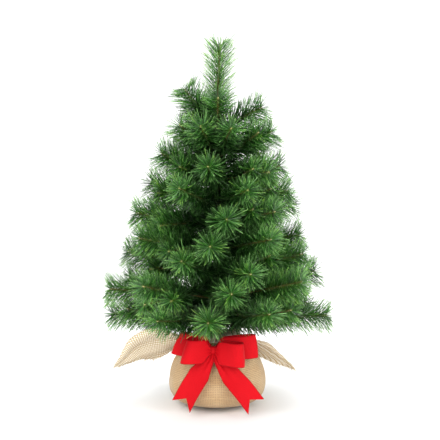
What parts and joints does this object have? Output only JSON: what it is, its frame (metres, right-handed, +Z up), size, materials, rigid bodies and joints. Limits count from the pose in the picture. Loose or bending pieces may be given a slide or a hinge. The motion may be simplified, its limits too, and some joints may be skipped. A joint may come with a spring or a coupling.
{
  "type": "artificial tabletop tree",
  "caption": "Small artificial pine tree with bendable needle branches on a pole, standing in a weighted pot wrapped in tied burlap with a ribbon bow.",
  "frame": {"origin": "middle of the flat underside of the sack, on the pole's line", "axes": "+Z up along the pole, -Y towards the front, where the bow is"},
  "size_m": [0.3588, 0.3378, 0.6],
  "materials": {
    "cement": "matte",
    "bowl_plastic": "matte",
    "steel_pole": "satin",
    "trunk_tape": "matte",
    "burlap": "matte",
    "jute_twine": "matte",
    "red_ribbon": "velvet",
    "pine_needles": "satin"
  },
  "bodies": {
    "base": {"base_weight": "cement", "base_bowl": "bowl_plastic", "trunk_rod": "steel_pole", "trunk_wrap": "trunk_tape", "burlap_sack": "burlap", "burlap_corners": "burlap", "neck_tie": "jute_twine", "bow_loops": "red_ribbon", "bow_tails": "red_ribbon", "bow_knot": "red_ribbon"},
    "leader": {"leader": "pine_needles"},
    "branch_1_1": {"branch_1_1": "pine_needles"},
    "branch_1_2": {"branch_1_2": "pine_needles"},
    "branch_1_3": {"branch_1_3": "pine_needles"},
    "branch_1_4": {"branch_1_4": "pine_needles"},
    "branch_1_5": {"branch_1_5": "pine_needles"},
    "branch_1_6": {"branch_1_6": "pine_needles"},
    "branch_1_7": {"branch_1_7": "pine_needles"},
    "branch_2_1": {"branch_2_1": "pine_needles"},
    "branch_2_2": {"branch_2_2": "pine_needles"},
    "branch_2_3": {"branch_2_3": "pine_needles"},
    "branch_2_4": {"branch_2_4": "pine_needles"},
    "branch_2_5": {"branch_2_5": "pine_needles"},
    "branch_2_6": {"branch_2_6": "pine_needles"},
    "branch_3_1": {"branch_3_1": "pine_needles"},
    "branch_3_2": {"branch_3_2": "pine_needles"},
    "branch_3_3": {"branch_3_3": "pine_needles"},
    "branch_3_4": {"branch_3_4": "pine_needles"},
    "branch_3_5": {"branch_3_5": "pine_needles"},
    "branch_3_6": {"branch_3_6": "pine_needles"},
    "branch_4_1": {"branch_4_1": "pine_needles"},
    "branch_4_2": {"branch_4_2": "pine_needles"},
    "branch_4_3": {"branch_4_3": "pine_needles"},
    "branch_4_4": {"branch_4_4": "pine_needles"},
    "branch_4_5": {"branch_4_5": "pine_needles"},
    "branch_4_6": {"branch_4_6": "pine_needles"},
    "branch_5_1": {"branch_5_1": "pine_needles"},
    "branch_5_2": {"branch_5_2": "pine_needles"},
    "branch_5_3": {"branch_5_3": "pine_needles"},
    "branch_5_4": {"branch_5_4": "pine_needles"},
    "branch_5_5": {"branch_5_5": "pine_needles"},
    "branch_6_1": {"branch_6_1": "pine_needles"},
    "branch_6_2": {"branch_6_2": "pine_needles"},
    "branch_6_3": {"branch_6_3": "pine_needles"},
    "branch_6_4": {"branch_6_4": "pine_needles"},
    "branch_6_5": {"branch_6_5": "pine_needles"},
    "branch_7_1": {"branch_7_1": "pine_needles"},
    "branch_7_2": {"branch_7_2": "pine_needles"},
    "branch_7_3": {"branch_7_3": "pine_needles"},
    "branch_7_4": {"branch_7_4": "pine_needles"},
    "branch_7_5": {"branch_7_5": "pine_needles"},
    "branch_8_1": {"branch_8_1": "pine_needles"},
    "branch_8_2": {"branch_8_2": "pine_needles"},
    "branch_8_3": {"branch_8_3": "pine_needles"},
    "branch_8_4": {"branch_8_4": "pine_needles"},
    "branch_8_5": {"branch_8_5": "pine_needles"},
    "branch_9_1": {"branch_9_1": "pine_needles"},
    "branch_9_2": {"branch_9_2": "pine_needles"},
    "branch_9_3": {"branch_9_3": "pine_needles"},
    "branch_9_4": {"branch_9_4": "pine_needles"}
  },
  "joints": [
    {"name": "leader_bend", "type": "hinge", "parent": "base", "child": "leader", "pos_m": [0, 0, 0.46], "axis": [0, 1, 0], "range_deg": [-15, 15]},
    {"name": "branch_1_1_bend", "type": "hinge", "parent": "base", "child": "branch_1_1", "pos_m": [-0.00792, 0.00111, 0.139], "axis": [0.1392, 0.9903, 0], "range_deg": [-10, 35]},
    {"name": "branch_1_2_bend", "type": "hinge", "parent": "base", "child": "branch_1_2", "pos_m": [-0.00412, -0.00686, 0.135], "axis": [-0.8572, 0.515, 0], "range_deg": [-10, 35]},
    {"name": "branch_1_3_bend", "type": "hinge", "parent": "base", "child": "branch_1_3", "pos_m": [-0.00056, -0.00798, 0.139], "axis": [-0.9976, 0.0698, 0], "range_deg": [-10, 35]},
    {"name": "branch_1_4_bend", "type": "hinge", "parent": "base", "child": "branch_1_4", "pos_m": [0.00376, -0.00706, 0.135], "axis": [-0.8829, -0.4695, 0], "range_deg": [-10, 35]},
    {"name": "branch_1_5_bend", "type": "hinge", "parent": "base", "child": "branch_1_5", "pos_m": [0.00792, -0.00111, 0.139], "axis": [-0.1392, -0.9903, 0], "range_deg": [-10, 35]},
    {"name": "branch_1_6_bend", "type": "hinge", "parent": "base", "child": "branch_1_6", "pos_m": [0.00514, 0.00613, 0.135], "axis": [0.766, -0.6428, 0], "range_deg": [-10, 35]},
    {"name": "branch_1_7_bend", "type": "hinge", "parent": "base", "child": "branch_1_7", "pos_m": [-0.00376, 0.00706, 0.139], "axis": [0.8829, 0.4695, 0], "range_deg": [-10, 35]},
    {"name": "branch_2_1_bend", "type": "hinge", "parent": "base", "child": "branch_2_1", "pos_m": [-0.00788, -0.00139, 0.174], "axis": [-0.1736, 0.9848, 0], "range_deg": [-10, 35]},
    {"name": "branch_2_2_bend", "type": "hinge", "parent": "base", "child": "branch_2_2", "pos_m": [-0.00575, -0.00556, 0.17], "axis": [-0.6947, 0.7193, 0], "range_deg": [-10, 35]},
    {"name": "branch_2_3_bend", "type": "hinge", "parent": "base", "child": "branch_2_3", "pos_m": [0.00111, -0.00792, 0.174], "axis": [-0.9903, -0.1392, 0], "range_deg": [-10, 35]},
    {"name": "branch_2_4_bend", "type": "hinge", "parent": "base", "child": "branch_2_4", "pos_m": [0.00678, -0.00424, 0.17], "axis": [-0.5299, -0.848, 0], "range_deg": [-10, 35]},
    {"name": "branch_2_5_bend", "type": "hinge", "parent": "base", "child": "branch_2_5", "pos_m": [0.00792, 0.00111, 0.174], "axis": [0.1392, -0.9903, 0], "range_deg": [-10, 35]},
    {"name": "branch_2_6_bend", "type": "hinge", "parent": "base", "child": "branch_2_6", "pos_m": [0.00056, 0.00798, 0.17], "axis": [0.9976, -0.0698, 0], "range_deg": [-10, 35]},
    {"name": "branch_3_1_bend", "type": "hinge", "parent": "base", "child": "branch_3_1", "pos_m": [-0.00798, 0.00056, 0.214], "axis": [0.0698, 0.9976, 0], "range_deg": [-10, 35]},
    {"name": "branch_3_2_bend", "type": "hinge", "parent": "base", "child": "branch_3_2", "pos_m": [-0.00287, -0.00747, 0.21], "axis": [-0.9336, 0.3584, 0], "range_deg": [-10, 35]},
    {"name": "branch_3_3_bend", "type": "hinge", "parent": "base", "child": "branch_3_3", "pos_m": [0.00274, -0.00752, 0.214], "axis": [-0.9397, -0.342, 0], "range_deg": [-10, 35]},
    {"name": "branch_3_4_bend", "type": "hinge", "parent": "base", "child": "branch_3_4", "pos_m": [0.00761, -0.00247, 0.21], "axis": [-0.309, -0.9511, 0], "range_deg": [-10, 35]},
    {"name": "branch_3_5_bend", "type": "hinge", "parent": "base", "child": "branch_3_5", "pos_m": [0.00647, 0.0047, 0.214], "axis": [0.5878, -0.809, 0], "range_deg": [-10, 35]},
    {"name": "branch_3_6_bend", "type": "hinge", "parent": "base", "child": "branch_3_6", "pos_m": [-0.00535, 0.00594, 0.21], "axis": [0.7431, 0.6691, 0], "range_deg": [-10, 35]},
    {"name": "branch_4_1_bend", "type": "hinge", "parent": "base", "child": "branch_4_1", "pos_m": [-0.00731, -0.00325, 0.252], "axis": [-0.4067, 0.9135, 0], "range_deg": [-10, 35]},
    {"name": "branch_4_2_bend", "type": "hinge", "parent": "base", "child": "branch_4_2", "pos_m": [-0.00056, -0.00798, 0.248], "axis": [-0.9976, 0.0698, 0], "range_deg": [-10, 35]},
    {"name": "branch_4_3_bend", "type": "hinge", "parent": "base", "child": "branch_4_3", "pos_m": [0.00492, -0.0063, 0.252], "axis": [-0.788, -0.6157, 0], "range_deg": [-10, 35]},
    {"name": "branch_4_4_bend", "type": "hinge", "parent": "base", "child": "branch_4_4", "pos_m": [0.008, 0, 0.248], "axis": [0, -1, 0], "range_deg": [-10, 35]},
    {"name": "branch_4_5_bend", "type": "hinge", "parent": "base", "child": "branch_4_5", "pos_m": [0.00351, 0.00719, 0.252], "axis": [0.8988, -0.4384, 0], "range_deg": [-10, 35]},
    {"name": "branch_4_6_bend", "type": "hinge", "parent": "base", "child": "branch_4_6", "pos_m": [-0.00719, 0.00351, 0.248], "axis": [0.4384, 0.8988, 0], "range_deg": [-10, 35]},
    {"name": "branch_5_1_bend", "type": "hinge", "parent": "base", "child": "branch_5_1", "pos_m": [-0.00796, -0.00084, 0.292], "axis": [-0.1045, 0.9945, 0], "range_deg": [-10, 35]},
    {"name": "branch_5_2_bend", "type": "hinge", "parent": "base", "child": "branch_5_2", "pos_m": [0.00097, -0.00794, 0.288], "axis": [-0.9925, -0.1219, 0], "range_deg": [-10, 35]},
    {"name": "branch_5_3_bend", "type": "hinge", "parent": "base", "child": "branch_5_3", "pos_m": [0.00604, -0.00525, 0.292], "axis": [-0.6561, -0.7547, 0], "range_deg": [-10, 35]},
    {"name": "branch_5_4_bend", "type": "hinge", "parent": "base", "child": "branch_5_4", "pos_m": [0.00752, 0.00274, 0.288], "axis": [0.342, -0.9397, 0], "range_deg": [-10, 35]},
    {"name": "branch_5_5_bend", "type": "hinge", "parent": "base", "child": "branch_5_5", "pos_m": [-0.00274, 0.00752, 0.292], "axis": [0.9397, 0.342, 0], "range_deg": [-10, 35]},
    {"name": "branch_6_1_bend", "type": "hinge", "parent": "base", "child": "branch_6_1", "pos_m": [-0.00776, 0.00194, 0.33], "axis": [0.2419, 0.9703, 0], "range_deg": [-10, 35]},
    {"name": "branch_6_2_bend", "type": "hinge", "parent": "base", "child": "branch_6_2", "pos_m": [-0.00447, -0.00663, 0.326], "axis": [-0.829, 0.5592, 0], "range_deg": [-10, 35]},
    {"name": "branch_6_3_bend", "type": "hinge", "parent": "base", "child": "branch_6_3", "pos_m": [0.00363, -0.00713, 0.33], "axis": [-0.891, -0.454, 0], "range_deg": [-10, 35]},
    {"name": "branch_6_4_bend", "type": "hinge", "parent": "base", "child": "branch_6_4", "pos_m": [0.00783, -0.00166, 0.326], "axis": [-0.2079, -0.9781, 0], "range_deg": [-10, 35]},
    {"name": "branch_6_5_bend", "type": "hinge", "parent": "base", "child": "branch_6_5", "pos_m": [0.00514, 0.00613, 0.33], "axis": [0.766, -0.6428, 0], "range_deg": [-10, 35]},
    {"name": "branch_7_1_bend", "type": "hinge", "parent": "base", "child": "branch_7_1", "pos_m": [-0.00769, -0.0022, 0.368], "axis": [-0.2756, 0.9613, 0], "range_deg": [-10, 35]},
    {"name": "branch_7_2_bend", "type": "hinge", "parent": "base", "child": "branch_7_2", "pos_m": [-0.00111, -0.00792, 0.364], "axis": [-0.9903, 0.1392, 0], "range_deg": [-10, 35]},
    {"name": "branch_7_3_bend", "type": "hinge", "parent": "base", "child": "branch_7_3", "pos_m": [0.00686, -0.00412, 0.368], "axis": [-0.515, -0.8572, 0], "range_deg": [-10, 35]},
    {"name": "branch_7_4_bend", "type": "hinge", "parent": "base", "child": "branch_7_4", "pos_m": [0.00788, 0.00139, 0.364], "axis": [0.1736, -0.9848, 0], "range_deg": [-10, 35]},
    {"name": "branch_7_5_bend", "type": "hinge", "parent": "base", "child": "branch_7_5", "pos_m": [-0.00447, 0.00663, 0.368], "axis": [0.829, 0.5592, 0], "range_deg": [-10, 35]},
    {"name": "branch_8_1_bend", "type": "hinge", "parent": "base", "child": "branch_8_1", "pos_m": [-0.00663, -0.00447, 0.41], "axis": [-0.5592, 0.829, 0], "range_deg": [-10, 35]},
    {"name": "branch_8_2_bend", "type": "hinge", "parent": "base", "child": "branch_8_2", "pos_m": [-0.00274, -0.00752, 0.406], "axis": [-0.9397, 0.342, 0], "range_deg": [-10, 35]},
    {"name": "branch_8_3_bend", "type": "hinge", "parent": "base", "child": "branch_8_3", "pos_m": [0.00247, -0.00761, 0.41], "axis": [-0.9511, -0.309, 0], "range_deg": [-10, 35]},
    {"name": "branch_8_4_bend", "type": "hinge", "parent": "base", "child": "branch_8_4", "pos_m": [0.00788, -0.00139, 0.406], "axis": [-0.1736, -0.9848, 0], "range_deg": [-10, 35]},
    {"name": "branch_8_5_bend", "type": "hinge", "parent": "base", "child": "branch_8_5", "pos_m": [0.00028, 0.008, 0.41], "axis": [0.9994, -0.0349, 0], "range_deg": [-10, 35]},
    {"name": "branch_9_1_bend", "type": "hinge", "parent": "base", "child": "branch_9_1", "pos_m": [-0.00798, -0.00056, 0.452], "axis": [-0.0698, 0.9976, 0], "range_deg": [-10, 35]},
    {"name": "branch_9_2_bend", "type": "hinge", "parent": "base", "child": "branch_9_2", "pos_m": [0.00028, -0.008, 0.448], "axis": [-0.9994, -0.0349, 0], "range_deg": [-10, 35]},
    {"name": "branch_9_3_bend", "type": "hinge", "parent": "base", "child": "branch_9_3", "pos_m": [0.00796, 0.00084, 0.452], "axis": [0.1045, -0.9945, 0], "range_deg": [-10, 35]},
    {"name": "branch_9_4_bend", "type": "hinge", "parent": "base", "child": "branch_9_4", "pos_m": [-0.00492, 0.0063, 0.448], "axis": [0.788, 0.6157, 0], "range_deg": [-10, 35]}
  ]
}
